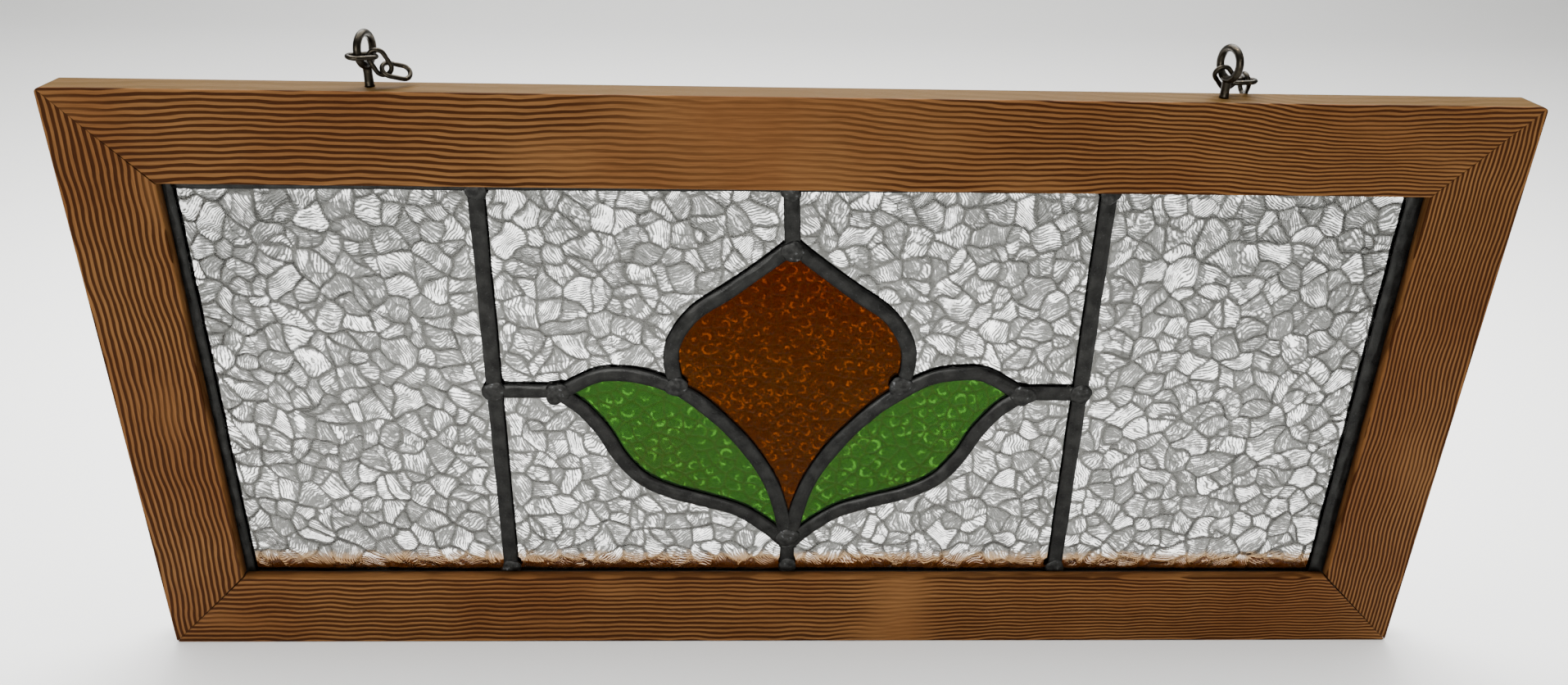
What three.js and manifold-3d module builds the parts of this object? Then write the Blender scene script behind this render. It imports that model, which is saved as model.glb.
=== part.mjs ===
// Leaded stained-glass panel in a grooved, mitred pine frame, hung from two screw eyes.
// Millimetres, +Z up, front towards -Y. The origin is halfway between the rings of the
// two screw eyes, in the middle of the frame's thickness.
import * as THREE from 'three';
import { mergeVertices } from 'three/addons/utils/BufferGeometryUtils.js';
import Module from 'manifold-3d';

const wasm = await Module();
wasm.setup();

// --- Driving dimensions -------------------------------------------------------------

// The wooden frame
const FRAME_WIDTH = 580;
const FRAME_HEIGHT = 264;
const FRAME_DEPTH = 16;
const MEMBER_FACE = 37.5;
const CORNER_RADIUS = 3;
const ARRIS = 0.9;
const SIGHT_X = FRAME_WIDTH / 2 - MEMBER_FACE;
const SIGHT_Z = FRAME_HEIGHT / 2 - MEMBER_FACE;

// The groove that the panel sits in
const GROOVE_FRONT = 5;
const GROOVE_BACK = 11.4;
const GROOVE_X = 258;
const GROOVE_Z = 103;

// The mitres have shrunk a little, so most of them stand open at their inner ends
const MITRE_GAP = 0.3;
const INNER_MITRE_GAP = { upperLeft: 0.5, upperRight: 0.3, lowerLeft: 0.7, lowerRight: 0.7 };
const MITRE_OVERRUN = 10;

// Lead cames, H-shaped in section
const FIT_GAP = 0.3;
const LEAD_FRONT = GROOVE_FRONT + FIT_GAP;
const LEAD_BACK = GROOVE_BACK - FIT_GAP;
const FLANGE = 1.1;
const HEART = 1.4;
const CAME_FACE = 6.6;
const BORDER_FACE = 8;
const LEAD_EDGE = 0.5;

// Glass
const GLASS_FRONT = LEAD_FRONT + FLANGE + FIT_GAP;
const GLASS_BACK = LEAD_BACK - FLANGE - FIT_GAP;

// Centre lines of the border cames; the top one is not quite level
const BORDER_LEFT = -253;
const BORDER_RIGHT = 250.5;
const BORDER_BOTTOM = BORDER_FACE / 2 - GROOVE_Z;
const BORDER_TOP_LEFT = 94.7;
const BORDER_TOP_RIGHT = 97.3;

// Centre lines of the pattern
const UPRIGHT_LEFT = { top: -130.7, bottom: -131.2 };
const UPRIGHT_RIGHT = { top: 124, bottom: 124 };
const CROSSBAR_HEIGHT = 0.4;
const BUD_AXIS = -3.5;
const LEAF_AXIS = -2.5;
const STEM_TOP = -4.8;
const STEM_BOTTOM = -2.8;
const LEAF_TIP = 101.5;
const LEAF_CREST = { left: 8.9, right: 10.2 };
const LEAF_BASE = -81;
const BUD_APEX = 69;
const BUD_FOOT = 48.3;

// Screw eyes: where they stand, how high their ring is, how far they are turned
const WIRE_RADIUS = 1.5;
const RING_RADIUS = 6;
const NECK_RADIUS = 1.75;
const SCREW_RADIUS = 1.2;
const SCREW_LENGTH = 15;
const BORE_RADIUS = SCREW_RADIUS + FIT_GAP;
const EYES = {
  left: { x: -167.2, height: 14.2, turn: Math.atan2(0.981, 0.196) },
  right: { x: 163.9, height: 13.4, turn: Math.atan2(0.966, -0.26) },
};
const HANG_HEIGHT = (EYES.left.height + EYES.right.height) / 2;

// Chain links: two half rings joined by straight sides
const LINK_WIRE = 1;
const LINK_BEND = 2.95;
const LINK_STRAIGHT = 2.4;

const PINE = new THREE.Color(0x8a5a30);
const LEAD = new THREE.Color(0x4b4d50);
const BRONZE = new THREE.Color(0x2c2722);
const CLEAR = new THREE.Color(0xdde3e2);
const AMBER = new THREE.Color(0xa8520f);
const GREEN = new THREE.Color(0x3a7d26);

// --- Solids -------------------------------------------------------------------------

// How far a cutting shape runs past what it cuts
const CUT_OVERRUN = 1;

// Welds a geometry's vertices and drops the triangles that collapse at its poles.
function solid(geometry) {
  geometry.deleteAttribute('normal');
  geometry.deleteAttribute('uv');
  const welded = mergeVertices(geometry);
  const index = welded.index.array;
  const kept = [];
  for (let i = 0; i < index.length; i += 3) {
    const [a, b, c] = index.slice(i, i + 3);
    if (a !== b && b !== c && c !== a) kept.push(a, b, c);
  }
  return new wasm.Manifold(new wasm.Mesh({
    numProp: 3,
    vertProperties: new Float32Array(welded.attributes.position.array),
    triVerts: new Uint32Array(kept),
  }));
}

function largest(body) {
  return body.decompose().reduce((best, piece) => (piece.volume() > best.volume() ? piece : best));
}

// Extrudes an outline drawn in x and z from one depth to another, with eased edges.
function slab(outline, front, back, ease = 0, easeSteps = 1) {
  const geometry = new THREE.ExtrudeGeometry(outline, {
    depth: back - front - 2 * ease,
    bevelEnabled: ease > 0,
    bevelThickness: ease,
    bevelSize: ease,
    bevelOffset: -ease,
    bevelSegments: easeSteps,
    curveSegments: 4,
  });
  geometry.rotateX(Math.PI / 2);
  geometry.translate(0, back - ease, 0);
  return solid(geometry);
}

function rectangle(halfWidth, halfHeight, radius = 0) {
  const shape = new THREE.Shape();
  shape.moveTo(radius - halfWidth, -halfHeight);
  shape.lineTo(halfWidth - radius, -halfHeight);
  shape.absarc(halfWidth - radius, radius - halfHeight, radius, -Math.PI / 2, 0);
  shape.lineTo(halfWidth, halfHeight - radius);
  shape.absarc(halfWidth - radius, halfHeight - radius, radius, 0, Math.PI / 2);
  shape.lineTo(radius - halfWidth, halfHeight);
  shape.absarc(radius - halfWidth, halfHeight - radius, radius, Math.PI / 2, Math.PI);
  shape.lineTo(-halfWidth, radius - halfHeight);
  shape.absarc(radius - halfWidth, radius - halfHeight, radius, Math.PI, 1.5 * Math.PI);
  return shape;
}

function sharpRectangle(left, bottom, right, top) {
  return new THREE.Shape([
    new THREE.Vector2(left, bottom),
    new THREE.Vector2(right, bottom),
    new THREE.Vector2(right, top),
    new THREE.Vector2(left, top),
  ]);
}

function part(name, body, material) {
  const mesh = body.getMesh();
  const geometry = new THREE.BufferGeometry();
  geometry.setAttribute('position', new THREE.BufferAttribute(mesh.vertProperties, 3));
  geometry.setIndex(new THREE.BufferAttribute(mesh.triVerts, 1));
  geometry.computeVertexNormals();
  const node = new THREE.Mesh(geometry, material);
  node.name = name;
  return node;
}

// --- Frame --------------------------------------------------------------------------

const CORNER_NAMES = { '-1,1': 'upperLeft', '1,1': 'upperRight', '-1,-1': 'lowerLeft', '1,-1': 'lowerRight' };

// A point on a mitre's cut face, measured outwards from the corner of the sight opening.
function mitrePoint(sideX, sideZ, outwards, isRail) {
  const innerGap = INNER_MITRE_GAP[CORNER_NAMES[`${sideX},${sideZ}`]];
  const gap = THREE.MathUtils.lerp(innerGap, MITRE_GAP, outwards / MEMBER_FACE);
  const setBack = gap * Math.SQRT1_2;
  const x = SIGHT_X + outwards - (isRail ? setBack : 0);
  const z = SIGHT_Z + outwards - (isRail ? 0 : setBack);
  return new THREE.Vector2(sideX * x, sideZ * z);
}

// The region between the two mitres of one member.
function memberRegion(firstCorner, secondCorner, isRail) {
  const inner = -MITRE_OVERRUN;
  const outer = MEMBER_FACE + MITRE_OVERRUN;
  return slab(new THREE.Shape([
    mitrePoint(...firstCorner, inner, isRail),
    mitrePoint(...firstCorner, outer, isRail),
    mitrePoint(...secondCorner, outer, isRail),
    mitrePoint(...secondCorner, inner, isRail),
  ]), -CUT_OVERRUN, FRAME_DEPTH + CUT_OVERRUN);
}

function frameBlank() {
  const outline = rectangle(FRAME_WIDTH / 2, FRAME_HEIGHT / 2, CORNER_RADIUS);
  outline.holes.push(sharpRectangle(-SIGHT_X, -SIGHT_Z, SIGHT_X, SIGHT_Z));
  const groove = sharpRectangle(-GROOVE_X, -GROOVE_Z, GROOVE_X, GROOVE_Z);
  return slab(outline, 0, FRAME_DEPTH, ARRIS, 2).subtract(slab(groove, GROOVE_FRONT, GROOVE_BACK));
}

function eyeBore(x) {
  const bore = new THREE.CylinderGeometry(BORE_RADIUS, BORE_RADIUS, 2 * SCREW_LENGTH, 12);
  bore.rotateX(Math.PI / 2);
  bore.translate(x, FRAME_DEPTH / 2, FRAME_HEIGHT / 2);
  return solid(bore);
}

function woodenFrame() {
  const material = new THREE.MeshStandardMaterial({ color: PINE, roughness: 0.6, metalness: 0 });
  const blank = frameBlank();
  const topRail = blank
    .intersect(memberRegion([-1, 1], [1, 1], true))
    .subtract(eyeBore(EYES.left.x))
    .subtract(eyeBore(EYES.right.x));
  const members = {
    top_rail: topRail,
    bottom_rail: blank.intersect(memberRegion([-1, -1], [1, -1], true)),
    left_stile: blank.intersect(memberRegion([-1, -1], [-1, 1], false)),
    right_stile: blank.intersect(memberRegion([1, -1], [1, 1], false)),
  };
  return Object.entries(members).map(([name, body]) => part(name, body, material));
}

// --- Lead ---------------------------------------------------------------------------

function straight(x1, z1, x2, z2) {
  return { curve: new THREE.LineCurve(new THREE.Vector2(x1, z1), new THREE.Vector2(x2, z2)), steps: 1 };
}

// A curve given by its points' distances from an upright axis; side is -1 for left, 1 for right.
function curved(axis, side, points, steps) {
  const placed = points.map(([across, z]) => new THREE.Vector2(axis + side * across, z));
  return { curve: new THREE.SplineCurve(placed), steps };
}

function topBorderAt(x) {
  return THREE.MathUtils.mapLinear(x, BORDER_LEFT, BORDER_RIGHT, BORDER_TOP_LEFT, BORDER_TOP_RIGHT);
}

function budLine(side) {
  return curved(BUD_AXIS, side, [
    [0, BUD_APEX], [9, 61.5], [26.2, 48.3], [41, 37.6], [49.5, 25], [51, 14], [BUD_FOOT, 0.5],
  ], 12);
}

function leafUpperLine(side, crest) {
  return curved(LEAF_AXIS, side, [
    [LEAF_TIP + 2.5, -2.8], [86, crest - 1.6], [74.5, crest], [61, crest - 2.3], [47, 0.2],
    [35, -9.5], [20.7, -25.5], [9.5, -43.8], [3.5, -62], [0.7, LEAF_BASE],
  ], 18);
}

function leafLowerLine(side) {
  return curved(LEAF_AXIS, side, [
    [LEAF_TIP, -0.5], [92, -7.5], [83, -19], [75.5, -33], [66, -44.3], [53, -51.3],
    [36, -56.5], [22, -61.6], [10, -70.2], [2, LEAF_BASE + 3],
  ], 18);
}

const LINES = {
  border_came_left: straight(BORDER_LEFT, -GROOVE_Z, BORDER_LEFT, BORDER_TOP_LEFT + BORDER_FACE / 2),
  border_came_right: straight(BORDER_RIGHT, -GROOVE_Z, BORDER_RIGHT, BORDER_TOP_RIGHT + BORDER_FACE / 2),
  border_came_top: straight(BORDER_LEFT, BORDER_TOP_LEFT, BORDER_RIGHT, BORDER_TOP_RIGHT),
  border_came_bottom: straight(BORDER_LEFT, BORDER_BOTTOM, BORDER_RIGHT, BORDER_BOTTOM),
  upright_came_left: straight(
    UPRIGHT_LEFT.top, topBorderAt(UPRIGHT_LEFT.top), UPRIGHT_LEFT.bottom, BORDER_BOTTOM),
  upright_came_right: straight(
    UPRIGHT_RIGHT.top, topBorderAt(UPRIGHT_RIGHT.top), UPRIGHT_RIGHT.bottom, BORDER_BOTTOM),
  leaf_upper_came_left: leafUpperLine(-1, LEAF_CREST.left),
  leaf_upper_came_right: leafUpperLine(1, LEAF_CREST.right),
  bud_came_left: budLine(-1),
  bud_came_right: budLine(1),
  stem_came_top: straight(STEM_TOP, topBorderAt(STEM_TOP), BUD_AXIS, BUD_APEX),
  leaf_lower_came_left: leafLowerLine(-1),
  leaf_lower_came_right: leafLowerLine(1),
  stem_came_bottom: straight(STEM_BOTTOM, LEAF_BASE + 2, STEM_BOTTOM, BORDER_BOTTOM),
  crossbar_came_left: straight(
    UPRIGHT_LEFT.top, CROSSBAR_HEIGHT, LEAF_AXIS - LEAF_TIP, CROSSBAR_HEIGHT),
  crossbar_came_right: straight(
    LEAF_AXIS + LEAF_TIP, CROSSBAR_HEIGHT, UPRIGHT_RIGHT.top, CROSSBAR_HEIGHT),
};

// The cames that each came is butted against; a mitre says which side of an axis it keeps.
const JOINTS = {
  border_came_top: { against: ['border_came_left', 'border_came_right'] },
  border_came_bottom: { against: ['border_came_left', 'border_came_right'] },
  upright_came_left: { against: ['border_came_top', 'border_came_bottom'] },
  upright_came_right: { against: ['border_came_top', 'border_came_bottom'] },
  leaf_upper_came_left: { mitre: { axis: LEAF_AXIS, side: -1 } },
  leaf_upper_came_right: { mitre: { axis: LEAF_AXIS, side: 1 } },
  bud_came_left: { against: ['leaf_upper_came_left'], mitre: { axis: BUD_AXIS, side: -1 } },
  bud_came_right: { against: ['leaf_upper_came_right'], mitre: { axis: BUD_AXIS, side: 1 } },
  stem_came_top: { against: ['border_came_top', 'bud_came_left', 'bud_came_right'] },
  leaf_lower_came_left: { against: ['leaf_upper_came_left'], mitre: { axis: LEAF_AXIS, side: -1 } },
  leaf_lower_came_right: { against: ['leaf_upper_came_right'], mitre: { axis: LEAF_AXIS, side: 1 } },
  stem_came_bottom: {
    against: [
      'border_came_bottom', 'leaf_upper_came_left', 'leaf_upper_came_right',
      'leaf_lower_came_left', 'leaf_lower_came_right',
    ],
  },
  crossbar_came_left: { against: ['upright_came_left', 'leaf_upper_came_left', 'leaf_lower_came_left'] },
  crossbar_came_right: { against: ['upright_came_right', 'leaf_upper_came_right', 'leaf_lower_came_right'] },
};

function faceOf(name) {
  return name.startsWith('border') ? BORDER_FACE : CAME_FACE;
}

// The outline that a line sweeps when it is given a width, run past both of its ends if asked.
function ribbon({ curve, steps }, width, overrun = 0) {
  const leftEdge = [];
  const rightEdge = [];
  for (let i = 0; i <= steps; i += 1) {
    const tangent = curve.getTangent(i / steps);
    const past = (i === steps) - (i === 0);
    const point = curve.getPoint(i / steps).addScaledVector(tangent, past * overrun);
    const across = new THREE.Vector2(-tangent.y, tangent.x).multiplyScalar(width / 2);
    leftEdge.push(point.clone().add(across));
    rightEdge.push(point.clone().sub(across));
  }
  return new THREE.Shape([...leftEdge, ...rightEdge.reverse()]);
}

// An H-section came: a full bar with a channel cut along each side of its heart.
function came(line, face) {
  const bar = slab(ribbon(line, face), LEAD_FRONT, LEAD_BACK, LEAD_EDGE);
  const channelFront = LEAD_FRONT + FLANGE;
  const channelBack = LEAD_BACK - FLANGE;
  const sides = slab(ribbon(line, face + 2, CUT_OVERRUN), channelFront, channelBack);
  const heart = slab(ribbon(line, HEART, 2 * CUT_OVERRUN), channelFront - CUT_OVERRUN, channelBack + CUT_OVERRUN);
  return bar.subtract(sides.subtract(heart));
}

function trimmed(name, body) {
  const { against = [], mitre } = JOINTS[name] ?? {};
  let result = body;
  for (const neighbour of against) {
    const outline = ribbon(LINES[neighbour], faceOf(neighbour) + 2 * FIT_GAP, FIT_GAP);
    result = result.subtract(slab(outline, LEAD_FRONT - CUT_OVERRUN, LEAD_BACK + CUT_OVERRUN));
  }
  if (mitre) {
    const cut = mitre.axis + mitre.side * FIT_GAP / 2;
    const region = sharpRectangle(
      Math.min(cut, mitre.side * SIGHT_X), -SIGHT_Z, Math.max(cut, mitre.side * SIGHT_X), SIGHT_Z);
    result = result.intersect(slab(region, LEAD_FRONT - CUT_OVERRUN, LEAD_BACK + CUT_OVERRUN));
  }
  return largest(result);
}

function leadwork() {
  const material = new THREE.MeshStandardMaterial({ color: LEAD, roughness: 0.55, metalness: 0.8 });
  return Object.entries(LINES).map(([name, line]) => {
    const body = trimmed(name, came(line, faceOf(name)));
    return part(name, body, material);
  });
}

// --- Glass --------------------------------------------------------------------------

// Each pane's name, glass and a point that it covers.
const PANES = [
  ['clear_pane_far_left', CLEAR, -190, 0],
  ['clear_pane_upper_left', CLEAR, -90, 60],
  ['clear_pane_lower_left', CLEAR, -90, -80],
  ['bud_pane', AMBER, BUD_AXIS, 20],
  ['leaf_pane_left', GREEN, -60, -25],
  ['leaf_pane_right', GREEN, 55, -25],
  ['clear_pane_upper_right', CLEAR, 90, 60],
  ['clear_pane_lower_right', CLEAR, 90, -80],
  ['clear_pane_far_right', CLEAR, 190, 0],
];

// One sheet parted along the hearts of all the cames.
function glazing() {
  const sheetOutline = new THREE.Shape([
    new THREE.Vector2(BORDER_LEFT, BORDER_BOTTOM),
    new THREE.Vector2(BORDER_RIGHT, BORDER_BOTTOM),
    new THREE.Vector2(BORDER_RIGHT, BORDER_TOP_RIGHT),
    new THREE.Vector2(BORDER_LEFT, BORDER_TOP_LEFT),
  ]);
  let sheet = slab(sheetOutline, GLASS_FRONT, GLASS_BACK);
  for (const line of Object.values(LINES)) {
    sheet = sheet.subtract(slab(ribbon(line, HEART + 2 * FIT_GAP), GLASS_FRONT - CUT_OVERRUN, GLASS_BACK + CUT_OVERRUN));
  }
  const pieces = sheet.decompose();
  return PANES.map(([name, color, x, z]) => {
    const probe = slab(sharpRectangle(x - 1, z - 1, x + 1, z + 1), GLASS_FRONT, GLASS_BACK);
    const pane = pieces.find((piece) => !piece.intersect(probe).isEmpty());
    const material = new THREE.MeshStandardMaterial({ color, roughness: 0.1, metalness: 0 });
    return part(name, pane, material);
  });
}

// --- Hanging hardware ---------------------------------------------------------------

// A ring on a neck that rests on the rail, with a pointed screw below it.
function screwEye({ x, height, turn }) {
  const ring = new THREE.TorusGeometry(RING_RADIUS, WIRE_RADIUS, 8, 20);
  ring.rotateX(Math.PI / 2);
  ring.translate(0, 0, height);
  const shank = new THREE.LatheGeometry([
    new THREE.Vector2(0, -SCREW_LENGTH + 1),
    new THREE.Vector2(SCREW_RADIUS, -SCREW_LENGTH + 4),
    new THREE.Vector2(SCREW_RADIUS, 0),
    new THREE.Vector2(NECK_RADIUS, 0),
    new THREE.Vector2(NECK_RADIUS, height - RING_RADIUS - 0.5),
    new THREE.Vector2(0, height - RING_RADIUS + 0.5),
  ], 10);
  shank.rotateX(Math.PI / 2);
  return solid(ring)
    .add(solid(shank))
    .rotate([0, 0, THREE.MathUtils.radToDeg(turn)])
    .translate([x, FRAME_DEPTH / 2, FRAME_HEIGHT / 2]);
}

// A ring drawn out along its own x axis, then laid along one direction and square to another.
function chainLink({ centre, along, facing }) {
  const link = new THREE.TorusGeometry(LINK_BEND, LINK_WIRE, 8, 18);
  const position = link.attributes.position;
  for (let i = 0; i < position.count; i += 1) {
    const x = position.getX(i);
    position.setX(i, x + Math.sign(x) * LINK_STRAIGHT);
  }
  const long = new THREE.Vector3(...along).normalize();
  const normal = new THREE.Vector3(...facing).projectOnPlane(long).normalize();
  const short = normal.clone().cross(long);
  link.applyMatrix4(new THREE.Matrix4().makeBasis(long, short, normal));
  link.translate(...centre);
  return solid(link);
}

const CHAINS = {
  left: [
    { centre: [-167.3, 3.4, 144.5], along: [0.78, 0.62, -0.08], facing: [0.09, 0.01, 1] },
    { centre: [-161.9, 7.1, 141.4], along: [0.34, 0.3, -0.89], facing: [0.26, -0.94, -0.22] },
    { centre: [-157, 9.8, 137.6], along: [0.87, 0.41, -0.29], facing: [0.49, -0.55, 0.68] },
  ],
  right: [
    { centre: [164.5, 11.9, 139.1], along: [0.66, 0.26, -0.71], facing: [0, 0.94, 0.33] },
    { centre: [171.8, 13, 137.4], along: [1, 0.04, 0.05], facing: [-0.05, 0.04, 1] },
    { centre: [175.1, 17.7, 135.2], along: [0.17, 0.68, -0.71], facing: [0.96, 0.05, 0.26] },
  ],
};

function hardware() {
  const material = new THREE.MeshStandardMaterial({ color: BRONZE, roughness: 0.45, metalness: 0.9 });
  const eyes = Object.entries(EYES).map(([side, eye]) => part(`screw_eye_${side}`, screwEye(eye), material));
  const links = Object.entries(CHAINS).flatMap(([side, chain]) => (
    chain.map((link, i) => part(`chain_${side}_link_${i + 1}`, chainLink(link), material))
  ));
  return [...eyes, ...links];
}

// --- Assembly -----------------------------------------------------------------------

const stainedGlassWindow = new THREE.Group();
stainedGlassWindow.add(...woodenFrame(), ...leadwork(), ...glazing(), ...hardware());
stainedGlassWindow.position.set(0, -FRAME_DEPTH / 2, -FRAME_HEIGHT / 2 - HANG_HEIGHT);

export default stainedGlassWindow;
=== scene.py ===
"""The dressed window: a mitred pine frame round a leaded panel of textured, amber and green glass."""
import math

import bpy
import numpy as np
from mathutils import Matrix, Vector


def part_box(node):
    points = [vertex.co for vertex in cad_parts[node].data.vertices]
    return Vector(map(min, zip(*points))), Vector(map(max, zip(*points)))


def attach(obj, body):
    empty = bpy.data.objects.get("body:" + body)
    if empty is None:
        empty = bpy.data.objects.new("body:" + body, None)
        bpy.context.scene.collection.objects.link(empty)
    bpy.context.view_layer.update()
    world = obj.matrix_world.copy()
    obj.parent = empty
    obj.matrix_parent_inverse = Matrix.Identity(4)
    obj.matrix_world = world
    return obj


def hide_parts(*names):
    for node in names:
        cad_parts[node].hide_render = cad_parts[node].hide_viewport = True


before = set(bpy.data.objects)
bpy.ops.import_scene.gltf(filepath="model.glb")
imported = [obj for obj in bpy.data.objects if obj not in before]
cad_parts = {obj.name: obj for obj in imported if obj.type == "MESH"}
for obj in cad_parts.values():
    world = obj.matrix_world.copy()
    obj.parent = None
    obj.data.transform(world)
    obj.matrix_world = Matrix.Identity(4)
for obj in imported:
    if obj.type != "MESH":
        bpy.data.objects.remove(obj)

bl_info = {
    "name": "Leaded Glass Window",
    "version": (1, 0, 0),
    "blender": (4, 5, 0),
    "location": "3D View > Sidebar > Window",
    "description": "Builds a framed leaded-glass panel that hangs from two screw eyes",
    "category": "Add Mesh",
}

MM = 0.001
TINY = 1e-6  # in metres: places closer than this are the same
DIAGONAL = math.sqrt(0.5)
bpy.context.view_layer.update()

# The frame's place and size, read from its members
STILE_LOW, STILE_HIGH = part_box("left_stile")
BOTTOM_LOW, BOTTOM_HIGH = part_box("bottom_rail")
RIGHT_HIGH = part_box("right_stile")[1]
TOP_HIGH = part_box("top_rail")[1]
FRONT = STILE_LOW[1]
DEPTH = STILE_HIGH[1] - STILE_LOW[1]
HALF_WIDTH = (RIGHT_HIGH[0] - STILE_LOW[0]) / 2
HALF_HEIGHT = (TOP_HIGH[2] - BOTTOM_LOW[2]) / 2
MIDDLE_Z = (TOP_HIGH[2] + BOTTOM_LOW[2]) / 2
FACE = BOTTOM_HIGH[2] - BOTTOM_LOW[2]
SIGHT_X = HALF_WIDTH - FACE
SIGHT_Z = HALF_HEIGHT - FACE

# The panel's depths, measured back from the frame's front
LIP = 5 * MM
GROOVE_BACK = 11.4 * MM
LEAD_FRONT = 5.3 * MM
LEAD_BACK = 11.1 * MM
FLANGE = 1.1 * MM
HEART = 1.4 * MM
CAME_FACE = 6.6 * MM
BORDER_FACE = 8 * MM

# The floor of the groove lies this far above and below the frame's middle
GROOVE_FLOOR = 103 * MM

# Centre lines of the pattern, in millimetres from the frame's middle
BORDER_LEFT, BORDER_RIGHT, BORDER_BOTTOM = -253, 250.5, -99
BORDER_TOP = (94.7, 97.3)
BUD_AXIS, LEAF_AXIS = -3.5, -2.5
BUD = [(0, 69), (9, 61.5), (26.2, 48.3), (41, 37.6), (49.5, 25), (51, 14), (48.3, 0.5)]
LEAF_LOWER = [(101.5, -0.5), (92, -7.5), (83, -19), (75.5, -33), (66, -44.3), (53, -51.3),
              (36, -56.5), (22, -61.6), (10, -70.2), (2, -78)]


def leaf_upper(crest):
    return [(104, -2.8), (86, crest - 1.6), (74.5, crest), (61, crest - 2.3), (47, 0.2),
            (35, -9.5), (20.7, -25.5), (9.5, -43.8), (3.5, -62), (0.7, -81)]


# --- Shapes -------------------------------------------------------------------------


def set_in_place(x, y, z):
    """Moves points measured from the middle of the frame's front face to the part's own frame."""
    x, y, z = np.broadcast_arrays(x, y, z)
    return np.stack([x, y + FRONT, z + MIDDLE_Z], -1).reshape(-1, 3)


def waves(x, y, size, seed):
    """A smooth random field of about -1 to 1: the sum of seven sine waves over the root of seven,
    whose direction and start are random and whose lengths are near size."""
    count = 7
    rng = np.random.default_rng(seed)
    angle = rng.uniform(0, 2 * np.pi, count)
    pace = 2 * np.pi / size * rng.uniform(0.6, 1.7, count)
    start = rng.uniform(0, 2 * np.pi, count)
    total = sum(np.sin(k * (np.cos(a) * x + np.sin(a) * y) + s) for a, k, s in zip(angle, pace, start))
    return total / np.sqrt(count)


def smoothstep(low, high, value):
    """0 below low, 1 above high and 3t^2 - 2t^3 between them."""
    t = np.clip((value - low) / (high - low), 0, 1)
    return t * t * (3 - 2 * t)


def circle(count):
    """Equal angles that go once round."""
    return np.linspace(0, 2 * np.pi, count, endpoint=False)


def grid_faces(rows, columns, ring_rows=False, ring_columns=False):
    """The quads of a grid whose point in row r and column c is number r * columns + c."""
    r = np.arange(rows if ring_rows else rows - 1)[:, None]
    c = np.arange(columns if ring_columns else columns - 1)[None, :]
    next_r, next_c = (r + 1) % rows, (c + 1) % columns
    corners = np.broadcast_arrays(r * columns + c, next_r * columns + c,
                                  next_r * columns + next_c, r * columns + next_c)
    return np.stack(corners, -1).reshape(-1, 4)


def enclosed_volume(points, faces):
    """Six times the signed volume: the sum over each face's fan of triangles of a . (b x c)."""
    total = 0.0
    for group in faces:
        group = np.atleast_2d(group)
        first = points[group[:, 0]]
        for k in range(1, group.shape[1] - 1):
            second, third = points[group[:, k]], points[group[:, k + 1]]
            total += np.einsum("ij,ij->", first, np.cross(second, third))
    return total


def turned(points, faces):
    """The faces with their corners in the order that makes the signed volume positive."""
    if enclosed_volume(points, faces) < 0:
        return [np.atleast_2d(group)[:, ::-1] for group in faces]
    return faces


def swept_faces(rows, count):
    """The quads of a sweep whose rows are closed loops of count points, and its two end caps. The cap
    on the last row runs the wrong way round and faces inwards. On a short came it can outweigh the
    sides in the signed volume, so that they face inwards too."""
    last = (rows - 1) * count
    return [grid_faces(rows, count, ring_columns=True), np.arange(count), np.arange(count) + last]


def make_piece(name, points, faces, stands_for, material, fields, smooth=None):
    """Makes a mesh from points and groups of faces with equal corner counts, turned by its signed
    volume. The first faces, as many as smooth says or else all, are shaded smooth."""
    polygons = [face for group in turned(points, faces) for face in np.atleast_2d(group).tolist()]
    mesh = bpy.data.meshes.new(name)
    mesh.from_pydata(points.tolist(), [], polygons)
    smooth = len(polygons) if smooth is None else smooth
    mesh.polygons.foreach_set("use_smooth", np.arange(len(polygons)) < smooth)
    for field, values in fields.items():
        vector = values.ndim == 2
        kind = "FLOAT_VECTOR" if vector else "FLOAT"
        attribute = mesh.attributes.new(field, kind, "POINT")
        attribute.data.foreach_set("vector" if vector else "value", values.astype(np.float32).ravel())
    mesh.update()
    piece = bpy.data.objects.new(name, mesh)
    bpy.context.collection.objects.link(piece)
    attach(piece, "root")
    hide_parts(*stands_for)
    mesh.materials.append(material)


def joined(parts):
    """Puts several (points, faces, fields) surfaces into one, renumbering their faces."""
    start, all_faces = 0, []
    for points, faces, _ in parts:
        all_faces += [np.atleast_2d(group) + start for group in faces]
        start += len(points)
    fields = {key: np.concatenate([part[2][key] for part in parts]) for key in parts[0][2]}
    return np.concatenate([part[0] for part in parts]), all_faces, fields


def spline(points, per_span):
    """A Catmull-Rom curve: on each span, half of (2b + (c - a)t + (2a - 5b + 4c - d)t^2
    + (3b - a - 3c + d)t^3), with the end points doubled."""
    points = np.asarray(points, float)
    padded = np.vstack([points[:1], points, points[-1:]])
    a, b, c, d = padded[:-3, None], padded[1:-2, None], padded[2:-1, None], padded[3:, None]
    t = np.linspace(0, 1, per_span, endpoint=False)[None, :, None]
    curve = 0.5 * (2 * b + (c - a) * t + (2 * a - 5 * b + 4 * c - d) * t**2
                   + (3 * b - a - 3 * c + d) * t**3)
    return np.vstack([curve.reshape(-1, points.shape[1]), points[-1:]])


def across_path(path):
    """Unit directions across a flat path in x and z: its tangents, turned a quarter round."""
    tangent = np.gradient(path, axis=0)
    tangent /= np.linalg.norm(tangent, axis=1, keepdims=True)
    return np.stack([-tangent[:, 1], tangent[:, 0]], 1)


# --- Wood ---------------------------------------------------------------------------

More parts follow.
